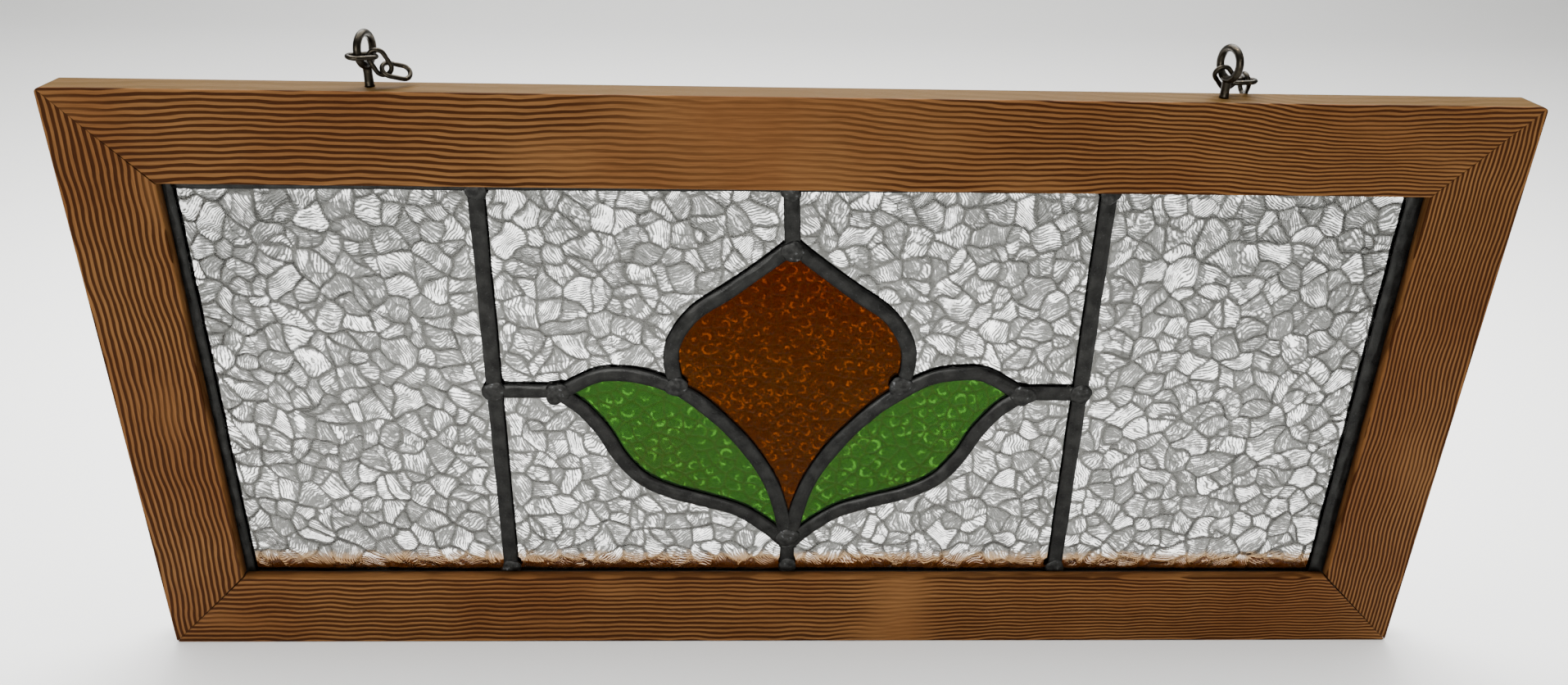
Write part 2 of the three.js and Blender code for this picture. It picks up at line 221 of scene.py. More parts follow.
# Gap of each mitre in millimetres: at its inner end, by the corner's side and height, and at its
# outer end, which is nearly closed
MITRE_GAPS = {(-1, 1): 0.5, (1, 1): 0.3, (-1, -1): 0.7, (1, -1): 0.7}
OUTER_MITRE_GAP = 0.08
ARRIS = 0.9 * MM
CORNER = 3 * MM  # radius of the frame's outer corners
LIP_MIDDLE = 2.5 * MM  # a point on the inner edge between the arris and the groove
SIDE_POINTS, BACK_POINTS = 16, 26
MEMBER_STEP = 2.3 * MM
STEPS_PER_RING = 6


def member_section(step):
    """The section of a member as a closed loop of (outwards, depth) points: a front face with fine
    steps, rounded arrises, outer edge, back, and an inner edge with the groove for the panel."""
    quarter = np.linspace(0, np.pi / 2, 5)[1:-1]
    groove = GROOVE_FLOOR - SIGHT_Z
    corner = ARRIS * (1 - np.sin(quarter)), ARRIS * (1 - np.cos(quarter))
    front = np.arange(ARRIS, FACE - ARRIS, step)
    side = np.linspace(ARRIS, DEPTH - ARRIS, SIDE_POINTS)
    back = np.linspace(FACE - ARRIS, ARRIS, BACK_POINTS)
    loop = [
        np.stack([front, np.zeros_like(front)], 1),
        np.stack([FACE - corner[0], corner[1]], 1),
        np.stack([np.full_like(side, FACE), side], 1),
        np.stack([FACE - corner[1], DEPTH - corner[0]], 1),
        np.stack([back, np.full_like(back, DEPTH)], 1),
        np.stack([corner[0], DEPTH - corner[1]], 1),
        [(0, DEPTH - ARRIS), (0, GROOVE_BACK), (groove, GROOVE_BACK)],
        [(groove, LIP), (0, LIP), (0, LIP_MIDDLE), (0, ARRIS)],
        np.stack([corner[1], corner[0]], 1),
    ]
    return np.vstack(loop)


def grain(along, out, depth, seed, closer, style):
    """Growth rings as a running count: (0.96 out + 0.3 depth + bend + swing) / pitch. The bend is the
    sum of slow, quick and small waves. The swing round a knot is lift times e to the power of minus
    ((along - centre) / reach)^2 + ((out - spread) / half a face)^2. The rings lie closer, by 1.4, in
    all of a member or, by up to 1.45, at one end."""
    slow, quick = waves(along, 0.6 * out, 0.13, seed), waves(along, out, 0.034, seed + 1)
    small = waves(along, 1.6 * out, 0.013, seed + 3)
    bend = style.grain_wave * (slow + 0.34 * quick + 0.11 * small) * MM
    swing = 0.0
    for centre, lift, reach, spread in KNOTS[seed]:
        away = ((along - centre) / reach) ** 2 + ((out - spread) / (0.5 * FACE)) ** 2
        swing = swing + lift * np.exp(-away)
    packed = 1 + 0.45 * smoothstep(-0.02, 0.2, along) * (closer == "one end")
    count = (out * 0.96 + depth * 0.3 + bend + swing) * packed / style.grain_pitch
    return count * (1.4 if closer == "all" else 1)


# Knots near each member: (place along it, lift, reach, distance out), by the member's seed
KNOTS = {
    11: ((0.235, 0.0035, 0.05, 0.030), (-0.19, -0.0012, 0.05, 0.012)),
    23: ((-0.05, 0.0018, 0.09, 0.015), (0.12, -0.0015, 0.06, 0.020)),
    31: ((0.02, 0.0008, 0.03, 0.020),),
    47: ((0.075, 0.0016, 0.03, 0.030),),
}


def wood_member(node, seed, upright, side, plain_spot, closer, style):
    """Sweeps the section between the two mitre planes. The point at share v of the way lies at
    (1 - v) start + v end, where start and end run outwards with the 45 degree mitres. At the outer
    corners a place that is p past the corner's start is held to sqrt(CORNER^2 - p^2). Early wood sinks
    by the relief times 1 - late. Both end caps run the wrong way round and face inwards."""
    section = member_section(style.grain_pitch / STEPS_PER_RING)
    half = SIGHT_Z if upright else SIGHT_X
    out, depth = section[:, 0], section[:, 1]
    ends = []
    corner = np.minimum(out, FACE - CORNER * (1 - DIAGONAL))
    for end in (-1, 1):
        gap = MITRE_GAPS[(side, end) if upright else (end, side)]
        open_by = (gap + (OUTER_MITRE_GAP - gap) * out / FACE) * MM
        ends.append(end * (half + corner - open_by * DIAGONAL))
    v = np.linspace(0, 1, int(2 * half / MEMBER_STEP))
    near = np.array([0.2, 0.5, 0.9, 1.4, 2.0, 2.8]) * MM / (2 * half)
    v = np.unique(np.r_[v, near, 1 - near])[:, None]
    along = (1 - v) * ends[0] + v * ends[1]
    out, depth = np.broadcast_to(out, along.shape), np.broadcast_to(depth, along.shape)
    ring = grain(along, out, depth, seed, closer, style)
    phase = ring - np.floor(ring)
    late = smoothstep(0.35, 0.65, phase) * (1 - smoothstep(0.92, 1, phase))
    plain = np.exp(-((along - plain_spot[0]) / plain_spot[1]) ** 2)
    strength = (1 - 0.72 * plain) * (0.92 + 0.22 * waves(along, out * 4, 0.12, seed + 5))
    on_front = (depth < TINY) & (out > ARRIS) & (out < FACE - ARRIS)
    on_back = depth > DEPTH - TINY
    sunk = style.grain_relief * (1 - late) * np.clip(strength, 0, 1)
    wander = 0.12 * MM * (1 + waves(along, out, 0.11, seed + 2))
    shift = np.where(on_front, sunk + wander, 0) - np.where(on_back, 0.3 * sunk, 0)
    on_edge = out > FACE - TINY
    inner = out < TINY
    outward = np.where(on_edge, out - 0.5 * sunk, out)
    past = np.clip(abs(along) - (half + FACE - CORNER), 0, CORNER)
    outward = np.minimum(outward, FACE - CORNER + np.sqrt(CORNER**2 - past**2))
    cross = side * ((SIGHT_X if upright else SIGHT_Z) + outward)
    x, z = (cross, along) if upright else (along, cross)
    points = set_in_place(x, depth + shift, z)
    rows, count = along.shape
    edge = np.where(on_edge | on_back, 0.4, 1.0)
    contrast = np.clip(strength, 0.05, 1) * np.where(inner & (depth > GROOVE_BACK - TINY), 0.1, edge)
    fields = {
        "ring": ring.ravel(),
        "contrast": (contrast * np.where(inner, 0.4, 1.0)).ravel(),
        "fibre": np.stack([along * 0.035, out, depth], -1).reshape(-1, 3),
        "pale": np.where(on_edge, 0.6 if upright else 1.0, 0.0).ravel(),
    }
    sides, first_cap, last_cap = swept_faces(rows, count)
    faces = [sides, first_cap[::-1], last_cap]
    make_piece(f"{node}_timber", points, faces, [node], pine(style), fields, len(sides))


# --- Lead ---------------------------------------------------------------------------

DENT = 0.07 * MM

def came_section(face):
    """An H in section as a closed loop of (across, depth): two domed flanges, whose depth grows with
    the cube of the distance from the middle, joined by the heart."""
    half = face / 2
    a = np.linspace(-1, 1, 15)
    dome = 0.8 * MM * abs(a) ** 3
    inner_front, inner_back = LEAD_FRONT + FLANGE, LEAD_BACK - FLANGE
    heart = HEART / 2
    return np.vstack([
        np.stack([a * half, LEAD_FRONT + dome], 1),
        [(half, inner_front), (heart, inner_front), (heart, inner_back), (half, inner_back)],
        np.stack([a[::-1] * half, LEAD_BACK - dome[::-1]], 1),
        [(-half, inner_back), (-heart, inner_back), (-heart, inner_front), (-half, inner_front)],
    ])


def came(node, path, face, seed, style, lift):
    """Sweeps the section along a flat path, with slow hand-worked changes of width and height."""
    path = np.asarray(path, float) * MM
    section = came_section(face)
    across = across_path(path)
    run = np.r_[0, np.cumsum(np.linalg.norm(np.diff(path, axis=0), axis=1))][:, None]
    width = 1 + 0.03 * waves(run, 0 * run, 0.03, seed)
    a = section[None, :, 0] * width
    depth = np.broadcast_to(section[None, :, 1], (len(path), len(section)))
    dent = DENT * waves(run, a * 6, 0.018, seed + 1) + lift
    front = depth < LEAD_FRONT + FLANGE - TINY
    back = depth > LEAD_BACK - FLANGE + TINY
    depth = depth + np.where(front, dent + DENT, 0) - np.where(back, dent + DENT, 0)
    x = path[:, :1] + across[:, :1] * a
    z = path[:, 1:] + across[:, 1:] * a
    points = set_in_place(x, depth, z)
    rows, count = a.shape
    fields = {"rim": (abs(section[None, :, 0]) / (face / 2) * np.ones_like(a)).ravel(),
              "run": np.stack([np.broadcast_to(run, a.shape), a, depth], -1).reshape(-1, 3)}
    faces = swept_faces(rows, count)
    make_piece(f"{node}_lead", points, faces, [node], lead(style), fields, len(faces[0]))


def straight(x1, z1, x2, z2):
    steps = max(2, int(math.hypot(x2 - x1, z2 - z1) / 2.5))
    return np.linspace((x1, z1), (x2, z2), steps)


def curved(axis, side, points):
    return spline([(axis + side * u, z) for u, z in points], 8)


def came_paths():
    """Each came's node, centre line in millimetres, face width and how far it lies behind the front."""
    top_left, top_right = BORDER_TOP
    rise = (top_right - top_left) / (BORDER_RIGHT - BORDER_LEFT)

    def top_at(x):
        return top_left + (x - BORDER_LEFT) * rise

    wide, narrow = BORDER_FACE, CAME_FACE
    return [
        ("border_came_left", straight(BORDER_LEFT, -103, BORDER_LEFT, 98.7), wide, 0.0),
        ("border_came_right", straight(BORDER_RIGHT, -103, BORDER_RIGHT, 101.3), wide, 0.0),
        ("border_came_top", straight(-249.4, top_at(-249.4), 246.9, top_at(246.9)), wide, 0.05),
        ("border_came_bottom", straight(-249.4, BORDER_BOTTOM, 246.9, BORDER_BOTTOM), wide, 0.05),
        ("upright_came_left", straight(-130.7, 92, -131.2, -94), narrow, 0.05),
        ("upright_came_right", straight(124, 93.5, 124, -94), narrow, 0.05),
        ("leaf_upper_came_left", curved(LEAF_AXIS, -1, leaf_upper(8.9)), narrow, 0.0),
        ("leaf_upper_came_right", curved(LEAF_AXIS, 1, leaf_upper(10.2)), narrow, 0.02),
        ("bud_came_left", curved(BUD_AXIS, -1, BUD), narrow, 0.05),
        ("bud_came_right", curved(BUD_AXIS, 1, BUD), narrow, 0.07),
        ("stem_came_top", straight(-4.8, 93, -3.6, 68), narrow, 0.1),
        ("leaf_lower_came_left", curved(LEAF_AXIS, -1, LEAF_LOWER), narrow, 0.08),
        ("leaf_lower_came_right", curved(LEAF_AXIS, 1, LEAF_LOWER), narrow, 0.1),
        ("stem_came_bottom", straight(-2.8, -78, -2.8, -95), narrow, 0.12),
        ("crossbar_came_left", straight(-128.5, 0.4, -101, 0.4), narrow, 0.1),
        ("crossbar_came_right", straight(97, 0.5, 121.8, 0.5), narrow, 0.1),
    ]


# Solder joints in millimetres: across, up, radius, height
SOLDER = [
    (-130.7, 91.6, 4.4, 0.6), (-4.7, 91.8, 4.2, 0.6), (124, 92.2, 4.2, 0.6),
    (-131.2, -92.6, 4.4, 0.6), (-2.8, -92, 4.0, 0.6), (124, -92.4, 4.2, 0.6),
    (-130.9, 0.4, 5.0, 0.7), (124, 0.5, 4.8, 0.7),
    (-104, -0.6, 5.0, 0.8), (99, -0.6, 5.2, 0.8),
    (-3.5, 67, 4.9, 0.9), (-52.3, 3.4, 4.8, 0.7), (45.2, 4.2, 4.8, 0.7), (-2.7, -75.5, 5.4, 0.9),
]


DROP_SIDES, DROP_RINGS = 40, 10
DROP_SUNK = 0.25 * MM


def solder_drop(x, z, radius, height, face, seed):
    """A low dome on a polar grid: height (1 - r^2)^0.8 with a wavy rim, closed underneath."""
    turn = circle(DROP_SIDES)[None, :]
    r = np.linspace(0.04, 1, DROP_RINGS)[:, None]
    rim = radius * (1 + 0.12 * waves(np.cos(turn) * radius, np.sin(turn) * radius, 2.2 * radius, seed))
    px, pz = x + r * rim * np.cos(turn), z + r * rim * np.sin(turn)
    lump = 1 + 0.18 * waves(px, pz, 1.1 * radius, seed + 1)
    rise = height * (1 - r**2) ** 0.8 * lump - DROP_SUNK
    outside, way = (LEAD_FRONT, -1) if face == "front" else (LEAD_BACK, 1)
    sheet = outside + way * rise
    floor = outside - way * 0.45 * MM + 0 * rise
    clear = SIGHT_Z - 0.3 * MM
    pz = np.clip(pz, -clear, clear)
    points = np.concatenate([set_in_place(px, sheet, pz), set_in_place(px[::-1], floor, pz[::-1])])
    return points, turned(points, swept_faces(2 * DROP_RINGS, DROP_SIDES)), {"run": points}


# --- Glass --------------------------------------------------------------------------

ROW_HEIGHT = 0.87  # of the cells' lattice, in cell sizes
CELL_REACH = 2.4  # how far a cell is felt, in cell sizes
CALM_EDGE = (2.6 * MM, 7 * MM)  # the relief fades out between these distances from a pane's outline
MARGIN = (3.2 * MM, 7 * MM)  # and the fine bumps between these
BACK_GAP = 0.08 * MM


def walk(ahead):
    """The closed loop that starts at the first key and goes from each key to its value."""
    loop = [next(iter(ahead))]
    while ahead[loop[-1]] != loop[0]:
        loop.append(ahead[loop[-1]])
    return loop


def pane_outline(node):
    """The corners of a pane's front face in order, from the edges that only one front triangle has."""
    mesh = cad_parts[node].data
    points = np.array([v.co[:] for v in mesh.vertices])
    front = points[:, 1].min()
    keys = [tuple(np.round(p * 1e6).astype(int)) for p in points]
    edges = []
    for triangle in mesh.polygons:
        corners = [keys[i] for i in triangle.vertices]
        if all(abs(points[i][1] - front) < TINY for i in triangle.vertices):
            for a, b in zip(corners, corners[1:] + corners[:1]):
                edges.append((a, b))
    both = set(edges)
    ahead = {a: b for (a, b) in edges if (b, a) not in both}
    return np.array(walk(ahead))[:, [0, 2]] * 1e-6


def inside(x, z, outline):
    """Even-odd rule: a point is inside if a ray from it crosses the outline an odd number of times."""
    odd = np.zeros(x.shape, bool)
    for (x1, z1), (x2, z2) in zip(outline, np.roll(outline, -1, 0)):
        crosses = (z1 > z) != (z2 > z)
        if z1 != z2:
            odd ^= crosses & (x < (x2 - x1) * (z - z1) / (z2 - z1) + x1)
    return odd


def nearest_on(outline, x, z):
    """The nearest point of the outline to each given point."""
    best = np.full(x.shape, np.inf)
    near_x, near_z = x.copy(), z.copy()
    for (x1, z1), (x2, z2) in zip(outline, np.roll(outline, -1, 0)):
        length = (x2 - x1) ** 2 + (z2 - z1) ** 2
        share = np.clip(((x - x1) * (x2 - x1) + (z - z1) * (z2 - z1)) / length, 0, 1)
        qx, qz = x1 + share * (x2 - x1), z1 + share * (z2 - z1)
        distance = (x - qx) ** 2 + (z - qz) ** 2
        closer = distance < best
        best = np.where(closer, distance, best)
        near_x, near_z = np.where(closer, qx, near_x), np.where(closer, qz, near_z)
    return near_x, near_z


def pressed_cells(x, z, size, seed, long=1.6, drop=0.14):
    """Cells of pressed glass: points on a shaken triangular lattice, some left out, each with its own
    stretched measure of distance. Gives the distance d to the nearest cell, the step to its border,
    and the middle and six random numbers of the cell that each place belongs to. The step is
    ln(w / (1 - w)) / sharp, where w is the cell's share of the sum of e^(-sharp d), so that corners
    come out round, divided by its slope from 0.3 to 2, so that it is a true distance."""
    rng = np.random.default_rng(seed)
    margin = 2 * size
    low_x, high_x = x.min() - margin, x.max() + margin
    low_z, high_z = z.min() - margin, z.max() + margin
    columns, rows = int((high_x - low_x) / size), int((high_z - low_z) / (ROW_HEIGHT * size))
    c, r = np.meshgrid(np.arange(columns), np.arange(rows))
    lattice = [low_x + (c + 0.5 * (r % 2)) * size, low_z + r * ROW_HEIGHT * size]
    seeds = np.stack(lattice, -1).reshape(-1, 2)
    seeds = seeds[rng.random(len(seeds)) > drop]
    seeds += rng.normal(0, 0.24 * size, seeds.shape)
    turn = rng.uniform(0, np.pi, len(seeds))
    stretch = rng.uniform(1, long, len(seeds))
    weight = rng.uniform(-0.14, 0.14, len(seeds)) * size
    first = np.full(x.shape, np.inf)
    shares = np.full(x.shape, 1e-30)
    owner = np.zeros(x.shape, int)
    pull_x, pull_z, own_x, own_z = (np.zeros(x.shape) for _ in range(4))
    sharp = 15 / size
    for i, (sx, sz) in enumerate(seeds):
        near = (abs(x - sx) < CELL_REACH * size) & (abs(z - sz) < CELL_REACH * size)
        dx, dz = x[near] - sx, z[near] - sz
        cos, sin = np.cos(turn[i]), np.sin(turn[i])
        along, cross = dx * cos + dz * sin, dz * cos - dx * sin
        u, v = along / stretch[i], cross * stretch[i]
        r = np.sqrt(np.maximum(along * u + cross * v, 1e-12))
        d = r - weight[i]
        grow_x, grow_z = (u * cos - v * sin) / r, (u * sin + v * cos) / r
        share = np.exp(-sharp * d)
        shares[near] += share
        pull_x[near] += share * grow_x
        pull_z[near] += share * grow_z
        closer = d < first[near]
        first[near] = np.where(closer, d, first[near])
        owner[near] = np.where(closer, i, owner[near])
        own_x[near] = np.where(closer, grow_x, own_x[near])
        own_z[near] = np.where(closer, grow_z, own_z[near])
    mine = np.exp(-sharp * first)
    others = np.maximum(shares - mine, 1e-6 * shares)
    slope_x = (pull_x - mine * own_x) / others - own_x
    slope_z = (pull_z - mine * own_z) / others - own_z
    slope = np.clip(np.hypot(slope_x, slope_z), 0.3, 2)
    own = np.clip(mine / shares, 1e-6, 1 - 1e-6)
    step = np.log(own / (1 - own)) / sharp / slope
    chance = rng.random((len(seeds), 6))
    return first, step, seeds[owner], np.moveaxis(chance[owner], -1, 0)


def clear_relief(x, z, seed, style):
    """Flat-topped cells with rounded shoulders, each tilted its own way, and shallow wide valleys:
    relief (0.62 wall + 0.3 pillow) + 0.16 tilt + 0.06 mm of waves. The wall is eased from 0 to 1 over
    the step, the pillow is half of 1 - (d / (0.7 size))^2, and half of the cells are split by the
    walls of smaller ones."""
    size = style.cell_size
    sway_x, sway_z = (0.1 * size * waves(x, z, 1.9 * size, seed + k) for k in (21, 22))
    x, z = x + sway_x, z + sway_z
    centre, step, seeds, chance = pressed_cells(x, z, size, seed)
    tilt_x, tilt_z, turn, parted, spread, tone = chance
    wall = smoothstep(0, 0.18 * size, step)
    _, small_step, _, small_chance = pressed_cells(x, z, 0.55 * size, seed + 50, 1.9, 0.3)
    split = parted > 0.5
    crack = smoothstep(-0.01 * size, 0.09 * size, small_step)
    wall = np.where(split, wall * (0.12 + 0.88 * crack), wall)
    dx, dz = x - seeds[..., 0], z - seeds[..., 1]
    tilt = (tilt_x - 0.5) * dx + (tilt_z - 0.5) * dz
    pillow = 0.5 * (1 - np.clip(centre / (0.7 * size), 0, 1) ** 2)
    height = style.relief * (0.62 * wall + 0.3 * pillow) + 0.16 * tilt
    height = height + 0.06 * MM * waves(x, z, 5 * MM, seed + 7)
    heading = np.pi * (turn * 0.9)
    pitch = style.ridge_pitch * (0.8 + 0.6 * spread)
    across = (dx * np.cos(heading) + dz * np.sin(heading)) / pitch
    across = across + 0.3 * waves(x, z, 6 * MM, seed + 9)
    along = (dz * np.cos(heading) - dx * np.sin(heading)) / pitch
    comb = np.stack([across, 0.22 * along, 17 * spread], -1)
    tone = np.where(split, 0.5 * tone + 0.5 * small_chance[5], tone)
    # Painted light and shade: part of each cell's tone is random, and part makes it lighter on one side
    # and darker on the other
    facing = 2 * np.pi * small_chance[1]
    lean = (dx * np.cos(facing) + dz * np.sin(facing)) / (0.5 * size)
    tone = 0.55 * tone + 0.45 * np.clip(0.5 + 0.6 * lean, 0, 1)
    return height, {"comb": comb, "wall": wall, "tone": tone}


def hammered_relief(x, z, seed, size):
    """Small round cells like hammer marks, domes with a narrow ditch between them: 0.12 mm of wall
    (1 - 0.5 ring) + 0.05 mm of waves, where the ring is e to the power of minus
    ((d - its radius) / (0.1 size))^2. The tone is a painted highlight on one arc of each ring."""
    centre, step, seeds, chance = pressed_cells(x, z, size, seed, 1.3, 0.25)
    _, radius, turn, _, _, highlight = chance
    wall = smoothstep(0, 0.2 * size, step)
    ring = np.exp(-((centre - (0.24 + 0.12 * radius) * size) / (0.1 * size)) ** 2)
    height = 0.12 * MM * wall * (1 - 0.5 * ring) + 0.05 * MM * waves(x, z, 6 * MM, seed + 3)
    dx, dz = x - seeds[..., 0], z - seeds[..., 1]
    arc = 0.5 + 0.5 * np.cos(np.arctan2(dz, dx) - 2 * np.pi * turn)
    tone = ring * arc * (0.4 + 0.6 * highlight) * (0.6 + 0.4 * waves(x, z, 1.5 * MM, seed + 8))
    return height, {"wall": wall, "tone": tone}


def glass_pane(node, relief, material, slot, grid, seed):
    """A pane as a grid trimmed to the node's outline. The boundary points move to the outline, the
    front carries the relief, which is eased out towards the outline, and the back is one flat face."""
    outline = pane_outline(node)
    low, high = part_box(node)
    front, back = low[1], high[1]
    xs = np.arange(low[0] - grid, high[0] + 2 * grid, grid)
    zs = np.arange(low[2] - grid, high[2] + 2 * grid, grid)
    middle_x, middle_z = np.meshgrid(xs[:-1] + grid / 2, zs[:-1] + grid / 2)
    keep = inside(middle_x, middle_z, outline)
    gx, gz = np.meshgrid(xs, zs)
    quads = grid_faces(len(zs), len(xs))[keep.ravel()]
    used, quads = np.unique(quads, return_inverse=True)
    quads = quads.reshape(-1, 4)
    x, z = gx.ravel()[used], gz.ravel()[used]
    count = len(x)
    rim = np.bincount(quads.ravel(), minlength=count) < 4
    x[rim], z[rim] = nearest_on(outline, x[rim], z[rim])
    height, fields = relief(x, z, seed)
    height = np.clip(height - np.percentile(height, 1), 0, None)
    top = np.percentile(height, 99.5)
    edge_x, edge_z = nearest_on(outline, x, z)
    room = np.hypot(x - edge_x, z - edge_z)
    calm = smoothstep(*CALM_EDGE, room)
    sheet = front + np.clip(0.5 * top + (0.5 * top - height) * calm, 0, 0.5 * (back - front))
    edges = np.concatenate([quads[:, [k, (k + 1) % 4]] for k in range(4)])
    lone = ~np.isin(edges[:, 0] * count + edges[:, 1], edges[:, 1] * count + edges[:, 0])
    loop = np.array(walk(dict(edges[lone].tolist())))
    around = np.arange(len(loop)) + count
    sides = np.stack([np.roll(loop, -1), loop, around, np.roll(around, -1)], 1)
    reverse = np.full(len(loop), back - BACK_GAP)
    points = np.concatenate([np.stack([x, sheet, z], 1), np.stack([x[loop], reverse, z[loop]], 1)])
    fields["margin"] = smoothstep(*MARGIN, room)
    fields = {key: np.concatenate([value, plain_back(key, value[loop], slot)])
              for key, value in fields.items()}
    faces = [quads, around[::-1], sides]
    make_piece(f"{node}_sheet", points, faces, [node], material, fields, len(quads))


def plain_back(key, value, slot):
    """The fields of the smooth side: no ditches, no ridges and an even tone."""
    even = {"comb": 0.25, "wall": 1, "margin": 0, "tone": 1 if slot == "clear_glass" else 0}
    return np.full_like(value, even[key])


# --- Hanging hardware ---------------------------------------------------------------

# Across, height of the ring above the rail and the way each eye is turned, in millimetres
EYES = {"left": (-167.2, 14.2, (0.196, 0.981)), "right": (163.9, 13.4, (-0.26, 0.966))}
RING_RADIUS, WIRE = 6 * MM, 1.5 * MM
CHAINS = {
    "left": [((-167.3, 3.4, 144.5), (0.78, 0.62, -0.08), (0.09, 0.01, 1)),
             ((-161.9, 7.1, 141.4), (0.34, 0.3, -0.89), (0.26, -0.94, -0.22)),
             ((-157, 9.8, 137.6), (0.87, 0.41, -0.29), (0.49, -0.55, 0.68))],
    "right": [((164.5, 11.9, 139.1), (0.66, 0.26, -0.71), (0, 0.94, 0.33)),
              ((171.8, 13, 137.4), (1, 0.04, 0.05), (-0.05, 0.04, 1)),
              ((175.1, 17.7, 135.2), (0.17, 0.68, -0.71), (0.96, 0.05, 0.26))],
}
LINK_BEND, LINK_STRAIGHT, LINK_WIRE = 2.95 * MM, 2.4 * MM, 1 * MM
TUBE_SIDES = 16
RING_STEPS, SHANK_SIDES = 64, 24
THREAD_PITCH, THREAD_HEIGHT = 1.3 * MM, 0.2 * MM
THREAD_TOP, THREAD_FOOT = -0.6 * MM, -12.5 * MM


def tube(path, outward, normal, radius):
    """A closed tube: the path point plus radius times (cos a outward + sin a normal)."""
    a = circle(TUBE_SIDES)[None, :, None]
    r = radius[:, None, None]
    points = path[:, None] + r * (np.cos(a) * outward[:, None] + np.sin(a) * normal)
    faces = [grid_faces(len(path), TUBE_SIDES, ring_rows=True, ring_columns=True)]
    return points.reshape(-1, 3), faces


def chain_link(centre, along, facing):
    """Two half rings joined by straight sides, with a closed butt joint in one side. The wire is
    thinner by 0.16 e to the power of minus ((u + 0.4 mm) / 0.35 mm)^2 at that joint."""
    long = np.array(along) / np.linalg.norm(along)
    normal = np.array(facing, float)
    normal -= long * (normal @ long)
    normal /= np.linalg.norm(normal)
    short = np.cross(normal, long)
    bend = np.linspace(-np.pi / 2, np.pi / 2, 15)
    flat = np.linspace(-1, 1, 9)[1:-1] * LINK_STRAIGHT
    level = 0 * flat
    round_u, round_v = LINK_BEND * np.cos(bend), LINK_BEND * np.sin(bend)
    u = np.r_[LINK_STRAIGHT + round_u, -flat, -LINK_STRAIGHT - round_u, flat]
    v = np.r_[round_v, LINK_BEND + level, -round_v, -LINK_BEND + level]
    out_u = np.r_[np.cos(bend), level, -np.cos(bend), level]
    out_v = np.r_[np.sin(bend), 1 + level, -np.sin(bend), -1 + level]
    place = set_in_place(centre[0] * MM, centre[1] * MM, centre[2] * MM)
    path = place + u[:, None] * long + v[:, None] * short
    joint = np.exp(-((u + 0.4 * MM) / (0.35 * MM)) ** 2) * (v > 0.9 * LINK_BEND)
    radius = LINK_WIRE * (1 - 0.06 - 0.16 * joint)
    points, faces = tube(path, out_u[:, None] * long + out_v[:, None] * short, normal, radius)
    return points, faces, {}


def eye_parts(x, height, heading):
    """The ring, thickened a little where it meets the neck, and the shank: a turned profile whose
    lower part carries a screw thread, r = core + ridge where the angle minus height over pitch is
    near whole turns."""
    turn = circle(RING_STEPS)
    h = np.array([heading[0], heading[1], 0]) / math.hypot(*heading)
    up = np.array([0, 0, 1.0])
    centre = set_in_place(x * MM, DEPTH / 2, HALF_HEIGHT + height * MM)
    outward = np.cos(turn)[:, None] * h + np.sin(turn)[:, None] * up
    low = np.exp(-((np.sin(turn) + 1) / 0.12))
    wire = WIRE * (0.999 + 0.06 * low)
    ring, ring_faces = tube(centre + RING_RADIUS * outward, outward, np.cross(h, up), wire)
    neck = height - 6.6
    levels = [-14, -12, -10.5, *np.arange(-10, 0, 0.25), 0, 0.15, 0.8, 3, 5, 6.2, neck]
    levels = np.array(levels)[:, None] * MM
    core = np.interp(levels / MM, [-14, -11, -0.01, 0, 0.15, 0.8, 5, neck],
                     [0.15, 1.0, 1.05, 1.6, 1.95, 1.75, 1.7, 1.9]) * MM
    a = circle(SHANK_SIDES)[None, :]
    lift = (a / (2 * np.pi) - levels / THREAD_PITCH) % 1
    thread = THREAD_HEIGHT * np.exp(-((lift - 0.5) / 0.16) ** 2) * (levels < THREAD_TOP)
    r = core + thread * (levels > THREAD_FOOT)
    shank = set_in_place(x * MM + r * np.cos(a), DEPTH / 2 + r * np.sin(a), HALF_HEIGHT + levels)
    faces = swept_faces(len(levels), SHANK_SIDES)
    return [(ring, turned(ring, ring_faces), {}), (shank, turned(shank, faces), {})]


# --- Materials ----------------------------------------------------------------------


class Value:
    """A socket that Python's operators work on, by adding Math nodes."""

    def __init__(self, bench, socket):
        self.bench, self.socket = bench, socket

    def math(self, operation, first, second=0.0):
        return self.bench.add("ShaderNodeMath", 0, {"operation": operation}, [first, second])

    def __add__(self, other):
        return self.math("ADD", self, other)

    def __radd__(self, other):
        return self.math("ADD", other, self)

    def __sub__(self, other):
        return self.math("SUBTRACT", self, other)

    def __rsub__(self, other):
        return self.math("SUBTRACT", other, self)

    def __mul__(self, other):
        return self.math("MULTIPLY", self, other)

    def __rmul__(self, other):
        return self.math("MULTIPLY", other, self)

    def __pow__(self, other):
        return self.math("POWER", self, other)

    def part(self):
        """What is left after the last whole number."""
        return self.math("FRACT", self)

    def wave(self):
        """The sine of this many turns, moved to 0..1."""
        return self.math("SINE", self * (2 * math.pi)) * 0.5 + 0.5

    def ramp(self, low, high):
        """0 at low, 1 at high, eased between them."""
        values = {"Value": self, "From Min": low, "From Max": high}
        return self.bench.add("ShaderNodeMapRange", 0, {"interpolation_type": "SMOOTHSTEP"}, values)

    def axis(self, name):
        """One of a vector's three numbers."""
        return self.bench.add("ShaderNodeSeparateXYZ", name, {}, [self])


